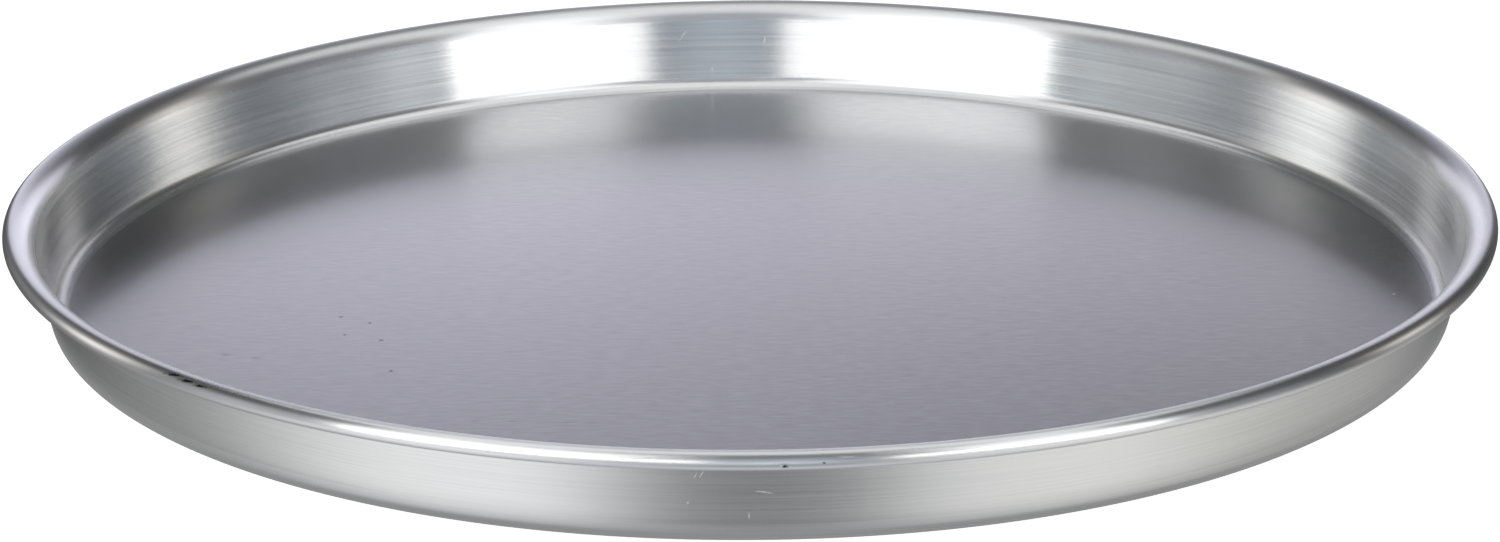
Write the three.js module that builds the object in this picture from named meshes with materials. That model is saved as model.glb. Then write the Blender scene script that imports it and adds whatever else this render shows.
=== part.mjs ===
// Tapered round baking pan: one deep-drawn aluminium sheet with a rolled rim, and the hoop of
// wire that the rim is rolled around. Millimetres, +Z up, origin at the centre of the underside.
import * as THREE from 'three';

// Driving dimensions of the pan
const rimDiameter = 375;
const panHeight = 25;
const sheetThickness = 1.0;
const wallTaperDegrees = 12.5;
const cornerRadius = 3.6;
const flareRadius = 5.7;

// Driving dimensions of the rim wire and the curl that holds it
const wireDiameter = 1.5;
const wireClearance = 0.3;
const wireButtGap = 1.2;
const curlSweepDegrees = 262;

// Facets of the round forms
const turnSegments = 80;
const cornerSteps = 5;
const flareSteps = 4;
const curlSteps = 11;
const wireSides = 8;

// Sizes worked out from the driving dimensions
const taper = THREE.MathUtils.degToRad(wallTaperDegrees);
const curlSweep = THREE.MathUtils.degToRad(curlSweepDegrees);
const wireRadius = wireDiameter / 2;
const curlRadius = wireRadius + wireClearance + sheetThickness;
const crestRadius = rimDiameter / 2 - curlRadius;
const curlHeight = panHeight - curlRadius;
const quarterTurn = Math.PI / 2;

// Points of an arc in the section plane, both ends included; x is the radius, y the height.
function arcPoints(centre, radius, startAngle, endAngle, steps) {
  const points = [];
  for (let i = 0; i <= steps; i += 1) {
    const angle = startAngle + ((endAngle - startAngle) * i) / steps;
    points.push(
      new THREE.Vector2(
        centre.x + radius * Math.cos(angle),
        centre.y + radius * Math.sin(angle),
      ),
    );
  }
  return points;
}

// Centres of the three bends of the section. The flare and the curl meet at the crest, straight
// above both of their centres, and the wall is tangent to the flare and to the corner.
const flareCentre = new THREE.Vector2(crestRadius, panHeight - flareRadius);
const curlCentre = new THREE.Vector2(crestRadius, curlHeight);
const cornerHeight = sheetThickness + cornerRadius;
const wallOffset = (flareRadius + cornerRadius) / Math.cos(taper);
const wallRun = (flareCentre.y - cornerHeight) * Math.tan(taper);
const cornerCentre = new THREE.Vector2(crestRadius - wallOffset - wallRun, cornerHeight);

// One face of the sheet, from the centre of the floor to the end of the curl. The depth is how far
// the face lies below the cooking face: zero for that face, the sheet's thickness for the other.
function sheetFace(depth) {
  const floorCentre = new THREE.Vector2(0, sheetThickness - depth);
  const corner = arcPoints(cornerCentre, cornerRadius + depth, -quarterTurn, -taper, cornerSteps);
  const flare = arcPoints(flareCentre, flareRadius - depth, Math.PI - taper, quarterTurn, flareSteps);
  const curlEnd = quarterTurn - curlSweep;
  const curl = arcPoints(curlCentre, curlRadius - depth, quarterTurn, curlEnd, curlSteps);
  return [floorCentre, ...corner, ...flare, ...curl.slice(1)];
}

// The sheet: up the cooking face, over the crest, round the curl and back along the outside.
function makePanShell() {
  const cookingFace = sheetFace(0);
  const outerFace = sheetFace(sheetThickness).reverse();
  const section = [...cookingFace, ...outerFace].reverse();
  const geometry = new THREE.LatheGeometry(section, turnSegments);
  geometry.rotateX(quarterTurn);
  const aluminium = new THREE.MeshStandardMaterial({ color: 0xb9babd, metalness: 1, roughness: 0.32 });
  const shell = new THREE.Mesh(geometry, aluminium);
  shell.name = 'pan_shell';
  return shell;
}

// The hoop: a straight wire bent once round, with a butt gap where its two ends face each other.
class HoopCurve extends THREE.Curve {
  getPoint(t) {
    const gapAngle = wireButtGap / crestRadius;
    const angle = gapAngle / 2 + t * (2 * Math.PI - gapAngle);
    return new THREE.Vector3(
      crestRadius * Math.cos(angle),
      crestRadius * Math.sin(angle),
      curlHeight,
    );
  }
}

function makeRimWire() {
  const section = new THREE.Shape(arcPoints(new THREE.Vector2(), wireRadius, 0, 2 * Math.PI, wireSides));
  const geometry = new THREE.ExtrudeGeometry(section, {
    steps: turnSegments,
    extrudePath: new HoopCurve(),
    bevelEnabled: false,
  });
  const steel = new THREE.MeshStandardMaterial({ color: 0x8d9094, metalness: 1, roughness: 0.45 });
  const wire = new THREE.Mesh(geometry, steel);
  wire.name = 'rim_wire';
  return wire;
}

const bakingPan = new THREE.Group();
bakingPan.add(makePanShell(), makeRimWire());

export default bakingPan;
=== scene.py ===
# Tapered round baking pan of bare aluminium with a rolled rim, dressed around its CAD frame.
import math

import bpy
import numpy as np
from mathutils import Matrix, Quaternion, Vector


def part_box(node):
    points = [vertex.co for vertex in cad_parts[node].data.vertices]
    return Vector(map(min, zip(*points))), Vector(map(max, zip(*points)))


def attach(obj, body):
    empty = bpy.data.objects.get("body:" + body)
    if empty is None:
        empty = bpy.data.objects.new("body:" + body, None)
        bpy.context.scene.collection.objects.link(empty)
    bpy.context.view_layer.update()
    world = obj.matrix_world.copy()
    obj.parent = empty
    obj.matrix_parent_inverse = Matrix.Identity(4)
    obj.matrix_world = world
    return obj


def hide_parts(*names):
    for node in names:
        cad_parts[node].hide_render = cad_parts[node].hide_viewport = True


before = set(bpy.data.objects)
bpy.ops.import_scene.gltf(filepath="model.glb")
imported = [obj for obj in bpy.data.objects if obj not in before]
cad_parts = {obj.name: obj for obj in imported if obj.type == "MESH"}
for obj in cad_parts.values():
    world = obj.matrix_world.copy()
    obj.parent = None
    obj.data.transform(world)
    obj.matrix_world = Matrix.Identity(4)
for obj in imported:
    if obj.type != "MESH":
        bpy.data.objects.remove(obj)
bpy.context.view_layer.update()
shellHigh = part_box("pan_shell")[1]
wireLow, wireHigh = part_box("rim_wire")
scene = bpy.context.scene
mm = 0.001
fullTurn = 2 * math.pi
print("frame:", sorted(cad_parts))


# Camera: the photograph's viewing angle, worked out from its rim and base curves
cameraSettings = {
    "lens": 93.8,  # mm
    "sensor": 36.0,  # mm wide
    "clipStart": 0.05,  # metres
    "distance": 1.002,  # metres
    "elevation": math.radians(18.7),
    "roll": math.radians(0.34),  # the right side of the picture is a little higher
    "aim": (-0.0001, 0.0, 0.0022),  # metres
}


def addCamera(s):
    # distance times (0, -cos e, sin e) from the aim, looking at the aim, then rolled about the view line
    aim = Vector(s["aim"])
    back = Vector((0, -math.cos(s["elevation"]), math.sin(s["elevation"])))
    data = bpy.data.cameras.new("photoCamera")
    data.lens = s["lens"]
    data.sensor_width = s["sensor"]
    data.clip_start = s["clipStart"]
    camera = bpy.data.objects.new("photoCamera", data)
    camera.rotation_mode = "QUATERNION"
    camera.location = aim + back * s["distance"]
    level = (-back).to_track_quat("-Z", "Y")
    camera.rotation_quaternion = level @ Quaternion((0, 0, 1), -s["roll"])
    scene.collection.objects.link(camera)
    scene.camera = camera


addCamera(cameraSettings)
print("camera: in place")


# Shared helpers for meshes and materials
def linear(hexColour):
    # sRGB hex to linear: c / 12.92 near black, ((c + 0.055) / 1.055) ** 2.4 above
    parts = [int(hexColour[i : i + 2], 16) / 255 for i in (1, 3, 5)]
    return tuple(c / 12.92 if c <= 0.04045 else ((c + 0.055) / 1.055) ** 2.4 for c in parts) + (1.0,)


def addNode(tree, kind, inputs=None, **settings):
    node = tree.nodes.new(kind)
    for key, value in settings.items():
        setattr(node, key, value)
    for key, value in (inputs or {}).items():
        if isinstance(value, bpy.types.NodeSocket):
            tree.links.new(value, node.inputs[key])
        else:
            node.inputs[key].default_value = value
    return node


def newMaterial(name):
    material = bpy.data.materials.new(name)
    material.use_nodes = True
    material.node_tree.nodes.clear()
    return material, material.node_tree


def arc(centre, radius, start, end, count):
    # points at centre + radius (cos a, sin a), with a in even steps from start to end
    a = np.linspace(start, end, count)
    return np.column_stack([centre[0] + radius * np.cos(a), centre[1] + radius * np.sin(a)])


def line(start, end, count):
    # points at start + t (end - start), with t in even steps from 0 to 1
    t = np.linspace(0, 1, count)[:, None]
    return np.array(start) + t * (np.array(end) - np.array(start))


# Pan shell: one sheet of even thickness, turned about Z. The rim and the height come from the frame,
# and the bends repeat the CAD's.
panSettings = {
    "rimRadius": shellHigh.x,
    "height": shellHigh.z,
    "sheet": 1.0 * mm,
    "taper": math.radians(12.5),
    "cornerRadius": 3.6 * mm,
    "flareRadius": 5.7 * mm,
    "curlRadius": 2.05 * mm,
    "curlSweep": math.radians(262),
    "columns": 320,
    "floorRings": 14,
    "cornerRows": 14,
    "wallRows": 12,
    "flareRows": 14,
    "curlRows": 34,
    "edgeRows": 7,
    # small dents of the front bead: degrees from the front towards +X, degrees round the bead above
    # level, length along the rim, height round the bead and depth
    "dents": [
        {"turn": 2.15, "up": -21, "length": 1.8 * mm, "width": 1.2 * mm, "depth": 0.16 * mm},
        {"turn": 6.2, "up": 30, "length": 4.2 * mm, "width": 0.7 * mm, "depth": 0.05 * mm},
        {"turn": -42.0, "up": 56, "length": 9.0 * mm, "width": 0.9 * mm, "depth": 0.05 * mm},
    ],
    "dentColumns": 36,
    "dentReach": 1.2,  # the fine columns go this many of a dent's lengths to each side
    "angleDigits": 5,  # columns whose angles agree to this many digits are one
}


def sectionOf(s):
    # floor line, corner arc, wall line, flare arc and curl arc of the cooking face, a half-round cut edge,
    # then the same run back along the outer face, one sheet thickness away
    crest = s["rimRadius"] - s["curlRadius"]
    flareCentre = (crest, s["height"] - s["flareRadius"])
    curlCentre = (crest, s["height"] - s["curlRadius"])
    cornerZ = s["sheet"] + s["cornerRadius"]
    reach = (s["flareRadius"] + s["cornerRadius"]) / math.cos(s["taper"])
    cornerCentre = (crest - reach - (flareCentre[1] - cornerZ) * math.tan(s["taper"]), cornerZ)
    curlEnd = math.pi / 2 - s["curlSweep"]

    def face(depth):
        floorZ = s["sheet"] - depth
        firstRing = cornerCentre[0] / s["floorRings"]
        floor = line((firstRing, floorZ), (cornerCentre[0], floorZ), s["floorRings"])
        corner = arc(cornerCentre, s["cornerRadius"] + depth, -math.pi / 2, -s["taper"], s["cornerRows"])
        flareArc = (math.pi - s["taper"], math.pi / 2)
        flare = arc(flareCentre, s["flareRadius"] - depth, *flareArc, s["flareRows"])
        wall = line(corner[-1], flare[0], s["wallRows"])
        curl = arc(curlCentre, s["curlRadius"] - depth, math.pi / 2, curlEnd, s["curlRows"])
        parts = [("floor", floor), ("corner", corner[1:]), ("wall", wall[1:])]
        return parts + [("flare", flare[1:]), ("curl", curl[1:])]

    middle = s["curlRadius"] - s["sheet"] / 2
    edgeCentre = np.array(curlCentre) + middle * np.array([math.cos(curlEnd), math.sin(curlEnd)])
    edge = arc(edgeCentre, s["sheet"] / 2, curlEnd, curlEnd - math.pi, s["edgeRows"])[1:-1]
    inside = face(0)
    outside = [("outer" + name.capitalize(), points[::-1]) for name, points in face(s["sheet"])[::-1]]
    runs = inside + [("edge", edge)] + outside
    points = np.concatenate([p for name, p in runs])
    names = np.concatenate([[name] * len(p) for name, p in runs])
    return points, names, curlCentre


def turnedMesh(name, points, names, angles, zones, push):
    # every section point (r, z), moved by its push (dr, dz), turned to (r cos a, r sin a, z)
    count = len(angles)
    rows = len(points)
    r = points[:, 0][:, None] + push[0]
    z = points[:, 1][:, None] + push[1]
    ring = np.stack([r * np.cos(angles), r * np.sin(angles), z], axis=-1).reshape(-1, 3)
    poles = np.array([[0, 0, points[0, 1]], [0, 0, points[-1, 1]]])
    verts = np.concatenate([poles, ring])

    # bands of quads between the rings, and a fan round each pole
    firstRing = len(poles)
    lastRing = firstRing + (rows - 1) * count
    thisRow = np.arange(rows - 1)[:, None] * count
    nextRow = thisRow + count
    j = np.arange(count)
    k = (j + 1) % count
    quads = firstRing + np.stack([thisRow + j, nextRow + j, nextRow + k, thisRow + k], -1)
    topFan = np.stack([np.zeros_like(j), firstRing + j, firstRing + k], -1)
    baseFan = np.stack([np.ones_like(j), lastRing + k, lastRing + j], -1)
    faces = quads.reshape(-1, 4).tolist() + topFan.tolist() + baseFan.tolist()
    mesh = bpy.data.meshes.new(name)
    mesh.from_pydata(verts.tolist(), [], faces)
    mesh.polygons.foreach_set("use_smooth", np.ones(len(faces), bool))

    # each band and fan takes the finish of its run of the section
    bandZone = np.repeat([zones[n] for n in names[1:]], count)
    fanZone = np.repeat([zones[names[0]], zones[names[-1]]], count)
    mesh.polygons.foreach_set("material_index", np.concatenate([bandZone, fanZone]).astype(np.int32))

    # map: across is the turn from 0 to 1, up is the length along the section from the floor's centre
    steps = np.linalg.norm(np.diff(points, axis=0, prepend=[[0, points[0, 1]]]), axis=1)
    along = np.cumsum(steps)
    turn = np.append(angles, angles[0] + fullTurn) / fullTurn
    left = np.broadcast_to(turn[:-1], (rows - 1, count))
    right = np.broadcast_to(turn[1:], left.shape)
    low = np.broadcast_to(along[:-1, None], left.shape)
    high = np.broadcast_to(along[1:, None], left.shape)
    quadMap = np.stack([left, low, left, high, right, high, right, low], -1).reshape(-1, 2)
    middle = (turn[:-1] + turn[1:]) / 2
    zero, first, end = np.zeros(count), np.full(count, along[0]), np.full(count, along[-1])
    topMap = np.stack([middle, zero, turn[:-1], first, turn[1:], first], -1).reshape(-1, 2)
    baseMap = np.stack([middle, end + along[0], turn[1:], end, turn[:-1], end], -1).reshape(-1, 2)
    layer = mesh.uv_layers.new(name="sheetMap")
    layer.data.foreach_set("uv", np.concatenate([quadMap, topMap, baseMap]).astype(np.float32).ravel())
    mesh.update()
    return mesh


def dentPush(s, points, names, angles, curlCentre):
    # each dent sinks the bead's outer face along its normal by depth times a Gaussian in both directions
    fromCentre = points - np.array(curlCentre)
    around = np.arctan2(fromCentre[:, 1], fromCentre[:, 0])
    onBead = names == "curl"
    sink = np.zeros((len(points), len(angles)))
    for dent in s["dents"]:
        front = math.radians(dent["turn"]) - math.pi / 2
        aside = ((angles - front + math.pi) % fullTurn - math.pi) * s["rimRadius"]
        above = (around - math.radians(dent["up"])) * s["curlRadius"]
        acrossRim = np.exp(-((aside / (dent["length"] / 2)) ** 2))
        aroundBead = np.exp(-((above / (dent["width"] / 2)) ** 2))
        sink += dent["depth"] * np.outer(aroundBead * onBead, acrossRim)
    return -sink * np.cos(around)[:, None], -sink * np.sin(around)[:, None]


def columnAngles(s):
    # even columns, with a fine stretch of columns added across each dent
    angles = [np.linspace(0, fullTurn, s["columns"], endpoint=False)]
    for dent in s["dents"]:
        front = math.radians(dent["turn"]) - math.pi / 2
        half = s["dentReach"] * dent["length"] / s["rimRadius"]
        angles.append(np.linspace(front - half, front + half, s["dentColumns"]) % fullTurn)
    return np.unique(np.round(np.concatenate(angles), s["angleDigits"]))


# Finish of each run of the section: 0 floor, 1 inside, 2 outside, 3 corner, 4 rim, 5 underside
shellZones = {"floor": 0, "corner": 3, "wall": 1, "flare": 4, "curl": 4, "edge": 4}
shellZones |= {"outerCurl": 4, "outerFlare": 2, "outerWall": 2, "outerCorner": 3, "outerFloor": 5}
sectionPoints, sectionNames, curlCentre = sectionOf(panSettings)
shellAngles = columnAngles(panSettings)
shellPush = dentPush(panSettings, sectionPoints, sectionNames, shellAngles, curlCentre)
shellMesh = turnedMesh("panShell", sectionPoints, sectionNames, shellAngles, shellZones, shellPush)
panShell = bpy.data.objects.new("panShell", shellMesh)
scene.collection.objects.link(panShell)
print("pan shell:", len(shellMesh.polygons), "faces")


# Rim wire: a round wire bent into a hoop inside the curl, with a butt gap at +X
wireSettings = {
    "radius": (wireHigh.z - wireLow.z) / 2,
    "hoopRadius": panSettings["rimRadius"] - panSettings["curlRadius"],
    "height": (wireHigh.z + wireLow.z) / 2,
    "buttGap": 1.2 * mm,
    "sides": 16,
    "steps": 240,
}


def wireMesh(s):
    # circle of the wire's radius carried round the hoop from gap to gap, with a flat cap on each end
    gap = s["buttGap"] / s["hoopRadius"]
    a = np.linspace(gap / 2, fullTurn - gap / 2, s["steps"])[:, None]
    b = np.linspace(0, fullTurn, s["sides"], endpoint=False)[None, :]
    r = s["hoopRadius"] + s["radius"] * np.cos(b)
    x = r * np.cos(a)
    y = r * np.sin(a)
    z = np.broadcast_to(s["height"] + s["radius"] * np.sin(b), x.shape)
    tube = np.stack([x, y, z], -1).reshape(-1, 3)

    count = s["sides"]
    thisRow = np.arange(s["steps"] - 1)[:, None] * count
    nextRow = thisRow + count
    j = np.arange(count)
    k = (j + 1) % count
    quads = np.stack([thisRow + j, nextRow + j, nextRow + k, thisRow + k], -1).reshape(-1, 4)
    caps = [j.tolist(), ((s["steps"] - 1) * count + j[::-1]).tolist()]
    mesh = bpy.data.meshes.new("rimWire")
    mesh.from_pydata(tube.tolist(), [], quads.tolist() + caps)
    smooth = np.ones(len(quads) + len(caps), bool)
    smooth[-len(caps) :] = False
    mesh.polygons.foreach_set("use_smooth", smooth)
    mesh.update()
    return mesh


rimWire = bpy.data.objects.new("rimWire", wireMesh(wireSettings))
scene.collection.objects.link(rimWire)
print("rim wire:", len(rimWire.data.polygons), "faces")


# Finishes of the sheet
noiseRoughness = 0.62  # the fine part of the noise shows a little more than at the usual 0.5


def remap(tree, value, low, high, fromLow=0.3, fromHigh=0.7):
    # noise lies mostly between 0.3 and 0.7, so that range is spread out unless another is given
    settings = {"Value": value, "From Min": fromLow, "From Max": fromHigh, "To Min": low, "To Max": high}
    return addNode(tree, "ShaderNodeMapRange", settings).outputs["Result"]


def streaks(tree, coords, size, detail):
    # noise drawn out to the given size along X, Y and Z
    scale = tuple(1 / length for length in size)
    drawn = addNode(tree, "ShaderNodeMapping", {"Vector": coords, "Scale": scale}).outputs["Vector"]
    settings = {"Vector": drawn, "Scale": 1.0, "Detail": detail, "Roughness": noiseRoughness}
    return addNode(tree, "ShaderNodeTexNoise", settings).outputs["Fac"]


def blend(tree, factor, dark, light):
    settings = {"Factor": factor, "A": linear(dark), "B": linear(light)}
    return addNode(tree, "ShaderNodeMix", settings, data_type="RGBA").outputs[2]


# Ragged edge of every mark: size and detail of its noise, how far the noise bites into the mark, and the
# sums of noise and distance at which the mark starts to thin out and is gone
raggedSettings = {"grain": 0.7 * mm, "detail": 2.0, "bite": 1.2, "full": 0.9, "gone": 1.5}
frontShare = 0.75  # of a turn from +X, where the map starts, to the front at -Y


def sliver(tree, s, ragged):
    # from 1 in the mark's middle to 0 near the ellipse (x / half length)^2 + (y / half width)^2 = 1, with
    # noise added to the distance; x runs along the turn, y along the section
    place = addNode(tree, "ShaderNodeUVMap", uv_map="sheetMap").outputs["UV"]
    middle = ((frontShare + s["turn"] / 360) % 1, s["along"], 0)
    settings = {0: place, 1: middle}
    apart = addNode(tree, "ShaderNodeVectorMath", settings, operation="SUBTRACT").outputs["Vector"]
    radius = min(s["along"], panSettings["rimRadius"])
    settings = {
        "Vector": apart,
        "Scale": (fullTurn * radius, 1, 1),
        "Rotation": (0, 0, -math.radians(s["tilt"])),
    }
    turned = addNode(tree, "ShaderNodeMapping", settings).outputs["Vector"]
    settings = {0: turned, 1: (s["length"] / 2, s["width"] / 2, 1)}
    shaped = addNode(tree, "ShaderNodeVectorMath", settings, operation="DIVIDE").outputs["Vector"]
    away = addNode(tree, "ShaderNodeVectorMath", {0: shaped}, operation="LENGTH").outputs["Value"]
    coords = addNode(tree, "ShaderNodeTexCoord").outputs["Object"]
    noise = streaks(tree, coords, (ragged["grain"],) * 3, ragged["detail"])
    settings = {0: noise, 1: ragged["bite"], 2: away}
    edge = addNode(tree, "ShaderNodeMath", settings, operation="MULTIPLY_ADD").outputs[0]
    return remap(tree, edge, 1, 0, ragged["full"], ragged["gone"])


def finishShader(tree, s, colour, roughness, height):
    # the marks are laid over colour and roughness one by one, and the metal's anisotropy follows the map
    for mark in s["marks"]:
        share = sliver(tree, mark, raggedSettings)
        inputs = {"Factor": share, "A": colour, "B": linear(mark["colour"])}
        colour = addNode(tree, "ShaderNodeMix", inputs, data_type="RGBA").outputs[2]
        inputs = {"Factor": share, "A": roughness, "B": mark["rough"]}
        roughness = addNode(tree, "ShaderNodeMix", inputs).outputs[0]
    settings = {"Strength": s["bump"], "Distance": s["depth"], "Height": height}
    bump = addNode(tree, "ShaderNodeBump", settings)
    tangent = addNode(tree, "ShaderNodeTangent", direction_type="UV_MAP", uv_map="sheetMap")
    settings = {
        "Base Color": colour,
        "Roughness": roughness,
        "Normal": bump.outputs["Normal"],
        "Tangent": tangent.outputs["Tangent"],
        "Metallic": 1.0,
        "Anisotropic": s["anisotropy"],
        "Anisotropic Rotation": s["anisotropyTurn"],
    }
    shader = addNode(tree, "ShaderNodeBsdfPrincipled", settings)
    addNode(tree, "ShaderNodeOutputMaterial", {"Surface": shader.outputs["BSDF"]})


# Looks of the wear: a stain that only darkens the sheet, a dull pit, a dark grey spot, and metal torn
# bright
faintDark = {"colour": "#b2b2b6", "rough": 0.26}
dullPit = {"colour": "#85858a", "rough": 0.32}
darkNick = {"colour": "#35373b", "rough": 0.5}
brightScratch = {"colour": "#ffffff", "rough": 0.4}


def wear(look, turn, along, length, width, tilt=0):
    # one mark: degrees from the front towards +X, mm along the section from the floor's centre, mm of
    # length and width, and degrees from the turn's direction to the mark's length
    place = {"turn": turn, "along": along * mm, "length": length * mm, "width": width * mm, "tilt": tilt}
    return place | look


# Rolled aluminium sheet, satin: even grey, with a fine grain along X from the rolling mill
floorSettings = {
    "dark": "#bbbbbe",
    "light": "#cbcbcd",
    "roughLow": 0.225,
    "roughHigh": 0.25,
    "grain": (5 * mm, 0.9 * mm, 10 * mm),  # real grain is about 0.3 mm wide, drawn coarser to show
    "detail": 3.0,
    "bump": 0.2,
    "depth": 0.006 * mm,
    "anisotropy": 0.0,
    "anisotropyTurn": 0.0,
    # a row of faint dashes left by a knife, two stains, five small pits and a bright speck
    "marks": [
        wear(faintDark, turn=-31.6, along=121.5, length=3.6, width=1.4, tilt=-40),
        wear(faintDark, turn=-28.0, along=117.5, length=4.0, width=1.4, tilt=-38),
        wear(faintDark, turn=-22.0, along=113.0, length=6.5, width=1.4, tilt=-24),
        wear(faintDark, turn=-19.3, along=111.5, length=4.5, width=1.2, tilt=-22),
        wear(faintDark, turn=-65.7, along=139.7, length=4.0, width=2.6, tilt=-66),
        wear(faintDark, turn=-63.5, along=134.0, length=3.0, width=2.2, tilt=-63),
        wear(dullPit, turn=-73.5, along=106.5, length=1.6, width=1.4),
        wear(dullPit, turn=-69.7, along=100.7, length=1.6, width=1.4),
        wear(dullPit, turn=-62.3, along=102.3, length=1.8, width=1.6),
        wear(dullPit, turn=-66.4, along=108.9, length=1.4, width=1.2),
        wear(dullPit, turn=-51.1, along=110.8, length=1.6, width=1.4),
        wear(brightScratch, turn=83.8, along=163.2, length=1.4, width=1.4),
    ],
}


def satinRolledAluminium(s):
    # one noise, drawn out along X, gives the grain's colour, roughness and height
    material, tree = newMaterial("satinRolledAluminium")
    coords = addNode(tree, "ShaderNodeTexCoord").outputs["Object"]
    grain = streaks(tree, coords, s["grain"], s["detail"])
    colour = blend(tree, remap(tree, grain, 0, 1), s["dark"], s["light"])
    finishShader(tree, s, colour, remap(tree, grain, s["roughLow"], s["roughHigh"]), grain)
    return material


# Spun aluminium inside the wall: bright grey, with streaks round the wall where the tool pressed, so
# reflections smear up and down it
insideSettings = {
    "name": "spunAluminium",
    "dark": "#d3d6d8",
    "light": "#fafbfb",
    "roughLow": 0.2,
    "roughHigh": 0.25,
    "line": (70 * mm, 70 * mm, 0.45 * mm),  # real lines are about 0.2 mm apart, drawn coarser to show
    "band": (90 * mm, 90 * mm, 3.2 * mm),
    "bandShare": 0.45,
    "bump": 0.5,
    "depth": 0.012 * mm,
    "anisotropy": 0.88,
    "anisotropyTurn": 0.25,
    "marks": [
        wear(brightScratch, turn=-173.7, along=190.4, length=5.5, width=0.7, tilt=128),
        wear(brightScratch, turn=178.5, along=188.5, length=3.2, width=0.9, tilt=95),
        wear(brightScratch, turn=-176.4, along=179.8, length=3.6, width=1.3, tilt=90),
    ],
}

# Brushed aluminium outside the wall: finer, more even lines
outsideSettings = {
    "name": "brushedAluminium",
    "dark": "#dbdddd",
    "light": "#e9eaea",
    "roughLow": 0.2,
    "roughHigh": 0.24,
    "line": (40 * mm, 40 * mm, 0.3 * mm),  # real lines are about 0.2 mm apart, drawn coarser to show
    "band": (120 * mm, 120 * mm, 5 * mm),
    "bandShare": 0.2,
    "bump": 0.3,
    "depth": 0.008 * mm,
    "anisotropy": 0.85,
    "anisotropyTurn": 0.25,
    "marks": [
        wear(brightScratch, turn=-4.35, along=234.4, length=0.8, width=0.8),
        wear(brightScratch, turn=-0.2, along=237.6, length=2.6, width=0.5, tilt=90),
        wear(brightScratch, turn=-3.4, along=227.2, length=2.6, width=0.4, tilt=118),
        wear(brightScratch, turn=-3.8, along=227.4, length=2.2, width=0.35, tilt=122),
        wear(brightScratch, turn=0.8, along=231.5, length=5.5, width=0.45, tilt=8),
    ],
}

# Burnished aluminium of the corner: pressed over the die's round edge, smooth, with no clear lines
cornerSettings = {
    "name": "burnishedAluminium",
    "dark": "#e2e3e4",
    "light": "#eaebec",
    "roughLow": 0.24,
    "roughHigh": 0.28,
    "line": (50 * mm, 50 * mm, 0.5 * mm),
    "band": (90 * mm, 90 * mm, 4 * mm),
    "bandShare": 0.3,
    "bump": 0.1,
    "depth": 0.005 * mm,
    "anisotropy": 0.4,
    "anisotropyTurn": 0.25,
    "marks": [],
}

# Rolled aluminium of the rim: turned over by a smooth tool, soft even reflections and almost no lines
rimSettings = {
    "name": "rolledRimAluminium",
    "dark": "#e4e5e7",
    "light": "#edeef0",
    "roughLow": 0.27,
    "roughHigh": 0.31,
    "line": (40 * mm, 40 * mm, 0.35 * mm),
    "band": (90 * mm, 90 * mm, 2 * mm),
    "bandShare": 0.3,
    "bump": 0.1,
    "depth": 0.005 * mm,
    "anisotropy": 0.9,
    "anisotropyTurn": 0.25,
    # a dark nick with a bright lip, a dark speck, a bright scrape and a long dark streak
    "marks": [
        wear(darkNick, turn=2.15, along=206.3, length=1.8, width=1.3),
        wear(brightScratch, turn=1.9, along=206.0, length=1.0, width=0.6, tilt=50),
        wear(darkNick, turn=4.65, along=205.6, length=1.1, width=0.5, tilt=10),
        wear(brightScratch, turn=6.2, along=204.5, length=5.2, width=0.7),
        wear(darkNick, turn=-43.3, along=203.5, length=8.0, width=1.2, tilt=-8),
        wear(darkNick, turn=-41.8, along=203.8, length=7.0, width=1.3, tilt=-8),
        wear(darkNick, turn=-40.4, along=204.0, length=6.0, width=1.0, tilt=-6),
    ],
}

# Detail of the noise on all the faces that a tool drew lines on
lineDetail = 1.5
bandDetail = 2.0


def drawnAluminium(s):
    # fine lines and broader bands round the pan, mixed by the bands' share
    material, tree = newMaterial(s["name"])
    coords = addNode(tree, "ShaderNodeTexCoord").outputs["Object"]
    lines = streaks(tree, coords, s["line"], lineDetail)
    bands = streaks(tree, coords, s["band"], bandDetail)
    mixed = addNode(tree, "ShaderNodeMix", {"Factor": s["bandShare"], "A": lines, "B": bands}).outputs[0]
    colour = blend(tree, remap(tree, mixed, 0, 1), s["dark"], s["light"])
    finishShader(tree, s, colour, remap(tree, mixed, s["roughLow"], s["roughHigh"]), lines)
    return material


# Dulled aluminium underneath: the same sheet, with wide rings from the spinning block, scuffed by use
undersideSettings = {
    "dark": "#b4b3b6",
    "light": "#cfced1",
    "roughLow": 0.34,
    "roughHigh": 0.46,
    "ring": 1.6 * mm,
    "scuff": 40 * mm,
    "scuffShare": 0.4,
    "detail": 3.0,
    "bump": 0.3,
    "depth": 0.015 * mm,
    "anisotropy": 0.6,
    "anisotropyTurn": 0.25,
    "marks": [],
}


def dulledAluminium(s):
    # noise over the distance from the axis draws rings, and slow noise over the place scuffs them
    material, tree = newMaterial("dulledAluminium")
    coords = addNode(tree, "ShaderNodeTexCoord").outputs["Object"]
    radius = addNode(tree, "ShaderNodeVectorMath", {0: coords}, operation="LENGTH").outputs["Value"]
    scuff = streaks(tree, coords, (s["scuff"],) * 3, s["detail"])
    across = addNode(tree, "ShaderNodeCombineXYZ", {"X": radius, "Y": remap(tree, scuff, 0, s["ring"])})
    rings = streaks(tree, across.outputs[0], (s["ring"],) * 3, s["detail"])
    mixed = addNode(tree, "ShaderNodeMix", {"Factor": s["scuffShare"], "A": rings, "B": scuff}).outputs[0]
    colour = blend(tree, remap(tree, mixed, 0, 1), s["dark"], s["light"])
    finishShader(tree, s, colour, remap(tree, mixed, s["roughLow"], s["roughHigh"]), rings)
    return material


shellFinishes = [satinRolledAluminium(floorSettings)]
drawnSettings = (insideSettings, outsideSettings, cornerSettings, rimSettings)
shellFinishes += [drawnAluminium(s) for s in drawnSettings] + [dulledAluminium(undersideSettings)]
for finish in shellFinishes:
    shellMesh.materials.append(finish)


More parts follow.
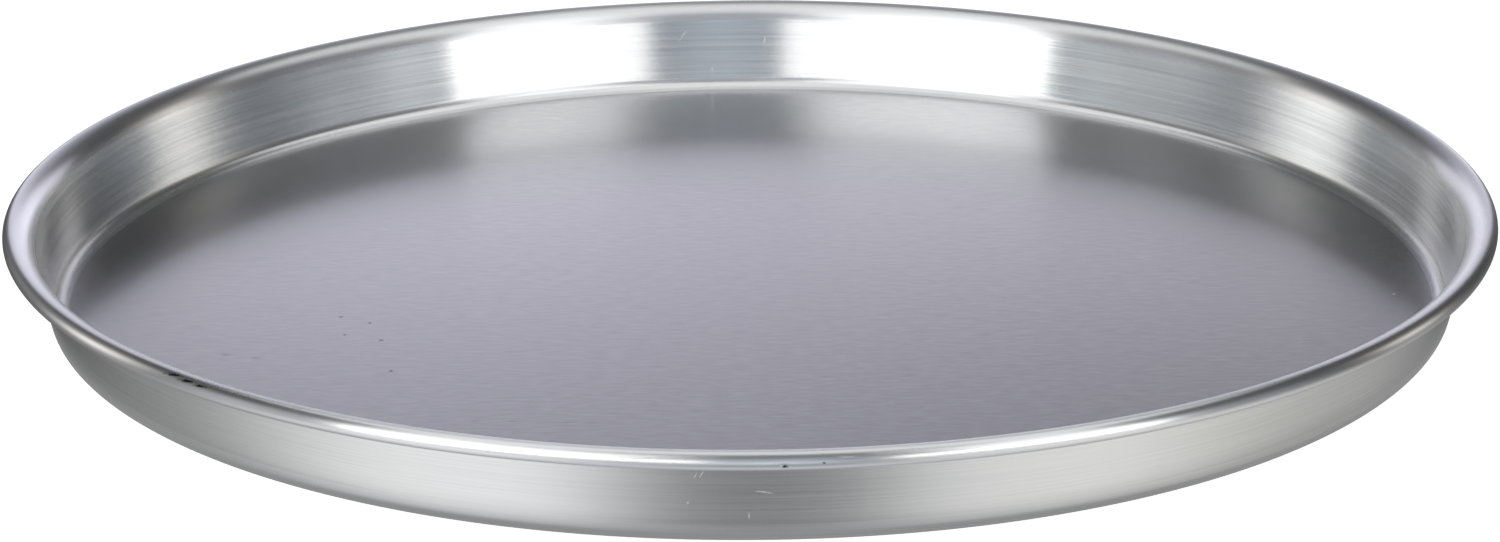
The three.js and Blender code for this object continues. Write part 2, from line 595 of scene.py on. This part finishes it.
# Galvanised steel wire: dull grey zinc, softly mottled by its crystals
zincSettings = {"dark": "#8b8f93", "light": "#a9adb0", "rough": 0.45, "spangle": 2.5 * mm, "detail": 2.0}


def galvanisedSteel(s):
    # noise of the spangle's size between the two greys
    material, tree = newMaterial("galvanisedSteel")
    coords = addNode(tree, "ShaderNodeTexCoord").outputs["Object"]
    settings = {"Vector": coords, "Scale": 1 / s["spangle"], "Detail": s["detail"]}
    spangle = addNode(tree, "ShaderNodeTexNoise", settings).outputs["Fac"]
    colour = blend(tree, spangle, s["dark"], s["light"])
    settings = {"Base Color": colour, "Metallic": 1.0, "Roughness": s["rough"]}
    shader = addNode(tree, "ShaderNodeBsdfPrincipled", settings)
    addNode(tree, "ShaderNodeOutputMaterial", {"Surface": shader.outputs["BSDF"]})
    return material


rimWire.data.materials.append(galvanisedSteel(zincSettings))
print("finishes: on the pan")

for piece, node, slot in ((panShell, "pan_shell", "pan_aluminium"), (rimWire, "rim_wire", "wire_steel")):
    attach(piece, "root")
    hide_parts(node)


# Stage: a round, pale matt floor that stays out of the metal's reflections, so the room's lower half
# stands for the table as the metal sees it. It is open under the pan's foot, where it would share the
# underside's plane.
stageSettings = {
    "hole": 173.5 * mm,
    "reach": 4.0,
    "height": 0.0,
    "colour": "#f8f8f8",
    "rough": 0.9,
    "glow": 0.8,
    "steps": 160,
}


def flatRing(name, inner, outer, height, steps):
    # two circles of the inner and outer radius at one height, joined by a band of quads
    a = np.linspace(0, fullTurn, steps, endpoint=False)
    circle = np.stack([np.cos(a), np.sin(a), np.zeros_like(a)], -1)
    lift = np.array([0, 0, height])
    verts = np.concatenate([circle * inner + lift, circle * outer + lift])
    i = np.arange(steps)
    k = (i + 1) % steps
    quads = np.stack([i, i + steps, k + steps, k], -1)
    mesh = bpy.data.meshes.new(name)
    mesh.from_pydata(verts.tolist(), [], quads.tolist())
    return mesh


def addFloor(s):
    # a matt floor that also glows a little, so it stays pale in every view
    mesh = flatRing("paleFloor", s["hole"], s["reach"], s["height"], s["steps"])
    material, tree = newMaterial("paleMatt")
    settings = {
        "Base Color": linear(s["colour"]),
        "Roughness": s["rough"],
        "Emission Color": linear(s["colour"]),
        "Emission Strength": s["glow"],
    }
    shader = addNode(tree, "ShaderNodeBsdfPrincipled", settings)
    addNode(tree, "ShaderNodeOutputMaterial", {"Surface": shader.outputs["BSDF"]})
    mesh.materials.append(material)
    floor = bpy.data.objects.new("paleFloor", mesh)
    floor.visible_glossy = False
    floor.visible_shadow = False
    scene.collection.objects.link(floor)


addFloor(stageSettings)


# Contact shade: the dim ring of table round the pan's foot, seen only as a reflection in the metal
shadeSettings = {
    "inner": 150 * mm,
    "fade": 177.5 * mm,
    "outer": 184 * mm,
    "height": 0.1 * mm,
    "glow": 0.3,
    "steps": 160,
}


def addContactShade(s):
    # a ring that turns clear from the radius named fade to the outer one
    mesh = flatRing("contactShade", s["inner"], s["outer"], s["height"], s["steps"])
    material, tree = newMaterial("contactShade")
    coords = addNode(tree, "ShaderNodeTexCoord").outputs["Object"]
    radius = addNode(tree, "ShaderNodeVectorMath", {0: coords}, operation="LENGTH").outputs["Value"]
    fade = remap(tree, radius, 0, 1, s["fade"], s["outer"])
    glow = addNode(tree, "ShaderNodeEmission", {"Strength": s["glow"]}).outputs["Emission"]
    clear = addNode(tree, "ShaderNodeBsdfTransparent").outputs["BSDF"]
    mixed = addNode(tree, "ShaderNodeMixShader", {0: fade, 1: glow, 2: clear}).outputs["Shader"]
    addNode(tree, "ShaderNodeOutputMaterial", {"Surface": mixed})
    mesh.materials.append(material)
    shade = bpy.data.objects.new("contactShade", mesh)
    shade.visible_camera = False
    shade.visible_diffuse = False
    shade.visible_shadow = False
    scene.collection.objects.link(shade)


addContactShade(shadeSettings)


# Studio light. A turn is degrees from the camera's side towards +X, up is degrees above level, and a glow
# is the brightness that the metal sees.
def outward(turn, up):
    # (sin t cos u, -cos t cos u, sin u)
    t = math.radians(turn)
    u = math.radians(up)
    return Vector((math.sin(t) * math.cos(u), -math.cos(t) * math.cos(u), math.sin(u)))


# Softboxes: metres away from the pan's middle, and degrees wide and high as seen from there
boxSettings = [
    dict(name="leftLow", turn=-31.5, up=5, away=1.3, wide=50, high=22, colour="#fffcf9", glow=2.5),
    dict(name="leftTall", turn=-39, up=38, away=1.3, wide=38, high=44, colour="#ffffff", glow=1.34),
    dict(name="rightLow", turn=37.5, up=5, away=1.3, wide=37.5, high=22, colour="#fffcf9", glow=2.5),
    dict(name="rightTall", turn=44, up=38, away=1.3, wide=26, high=44, colour="#ffffff", glow=1.1),
    dict(name="backCard", turn=180, up=11, away=1.3, wide=50, high=17, colour="#f6f3ff", glow=0.82),
    dict(name="overhead", turn=180, up=80, away=0.51, wide=65, high=62, colour="#ffffff", glow=0.86),
]


def addSoftbox(s):
    # a rectangle that faces the pan; each side is 2 away tan(half its angle), and the power is glow area pi
    out = outward(s["turn"], s["up"])
    data = bpy.data.lights.new(s["name"], "AREA")
    data.shape = "RECTANGLE"
    data.size = 2 * s["away"] * math.tan(math.radians(s["wide"] / 2))
    data.size_y = 2 * s["away"] * math.tan(math.radians(s["high"] / 2))
    data.energy = s["glow"] * data.size * data.size_y * math.pi
    data.color = linear(s["colour"])[:3]
    box = bpy.data.objects.new(s["name"], data)
    box.rotation_mode = "QUATERNION"
    box.rotation_quaternion = out.to_track_quat("Z", "Y")
    box.location = out * s["away"]
    box.visible_camera = False
    scene.collection.objects.link(box)


# Soft glows of the room: each fades from its middle, and its spread is the degrees at which it has fallen
# to about a third. A spread of 180 is even all round.
glowSettings = [
    dict(name="room", turn=0, up=90, tall=1, spread=180, colour="#ffffff", glow=0.065),
    dict(name="gap", turn=5, up=5, tall=1.75, spread=14, colour="#e5f1ff", glow=0.56),
    dict(name="gapHigh", turn=5, up=40, tall=1, spread=15, colour="#e5f1ff", glow=0.2),
    dict(name="leftFade", turn=-60, up=4, tall=1.8, spread=9, colour="#f2faff", glow=0.56),
    dict(name="rightFade", turn=60, up=4, tall=1.8, spread=9, colour="#f4f9ff", glow=0.72),
    dict(name="leftFar", turn=-80, up=4, tall=2.5, spread=12, colour="#f8fbff", glow=0.48),
    dict(name="rightFar", turn=80, up=4, tall=2.5, spread=12, colour="#e8efff", glow=0.2),
    dict(name="leftSide", turn=-112, up=6, tall=1.8, spread=10.5, colour="#fffcf8", glow=1.4),
    dict(name="rightSide", turn=113, up=6, tall=1.8, spread=8, colour="#fff8ee", glow=1.15),
    dict(name="leftBack", turn=-138, up=6, tall=1.8, spread=10, colour="#ffffff", glow=0.17),
    dict(name="backHigh", turn=180, up=25, tall=1, spread=10, colour="#e8e8ff", glow=0.28),
    dict(name="backLeft", turn=-172, up=18, tall=1, spread=7, colour="#ececff", glow=0.38),
    dict(name="backRight", turn=168, up=5, tall=1, spread=9, colour="#ececff", glow=0.58),
    dict(name="horizon", turn=2, up=-16, tall=1, spread=11, colour="#f4f9ff", glow=1.15),
    dict(name="tableLeft", turn=-61, up=-42, tall=1, spread=23, colour="#ffffff", glow=0.86),
    dict(name="tableRight", turn=61, up=-42, tall=1, spread=23, colour="#fffefc", glow=0.72),
    dict(name="tableNearLeft", turn=-34, up=-42, tall=1, spread=14, colour="#f8f8ff", glow=0.54),
    dict(name="tableNearRight", turn=34, up=-42, tall=1, spread=14, colour="#ffffff", glow=0.4),
    dict(name="tableFarLeft", turn=-95, up=-42, tall=1, spread=24, colour="#ffffff", glow=0.27),
    dict(name="tableFarRight", turn=95, up=-42, tall=1, spread=24, colour="#fffcf2", glow=0.32),
    dict(name="tableBackLeft", turn=-130, up=-42, tall=1, spread=24, colour="#ffffff", glow=0.14),
    dict(name="tableBackRight", turn=130, up=-42, tall=1, spread=24, colour="#ffffff", glow=0.4),
    dict(name="tableBelow", turn=0, up=-88, tall=1, spread=22, colour="#f2f9ff", glow=0.8),
]


def addRoom(glows):
    # sum over the glows of colour times exp(k (d . c - 1)), with c the glow's middle and d the direction
    # after its height is divided by how tall the glow is
    room = bpy.data.worlds.new("room")
    room.use_nodes = True
    tree = room.node_tree
    tree.nodes.clear()
    direction = addNode(tree, "ShaderNodeTexCoord").outputs["Generated"]
    total = None
    for s in glows:
        k = 1 / (1 - math.cos(math.radians(s["spread"]))) if s["spread"] < 180 else 0.0
        middle = outward(s["turn"], s["up"])
        settings = {0: direction, 1: (1, 1, 1 / s["tall"])}
        level = addNode(tree, "ShaderNodeVectorMath", settings, operation="MULTIPLY").outputs["Vector"]
        unit = addNode(tree, "ShaderNodeVectorMath", {0: level}, operation="NORMALIZE").outputs["Vector"]
        near = addNode(tree, "ShaderNodeVectorMath", {0: unit, 1: middle}, operation="DOT_PRODUCT")
        settings = {0: near.outputs["Value"], 1: k, 2: -k}
        power = addNode(tree, "ShaderNodeMath", settings, operation="MULTIPLY_ADD")
        fall = addNode(tree, "ShaderNodeMath", {0: power.outputs[0]}, operation="EXPONENT")
        colour = [s["glow"] * c for c in linear(s["colour"])[:3]]
        settings = {0: colour, "Scale": fall.outputs[0]}
        glow = addNode(tree, "ShaderNodeVectorMath", settings, operation="SCALE").outputs["Vector"]
        if total is not None:
            settings = {0: total, 1: glow}
            glow = addNode(tree, "ShaderNodeVectorMath", settings, operation="ADD").outputs["Vector"]
        total = glow
    light = addNode(tree, "ShaderNodeBackground", {"Color": total})
    addNode(tree, "ShaderNodeOutputWorld", {"Surface": light.outputs["Background"]})
    return room


for box in boxSettings:
    addSoftbox(box)
scene.world = addRoom(glowSettings)
scene.view_settings.view_transform = "Standard"
print("stage and lights: in place")
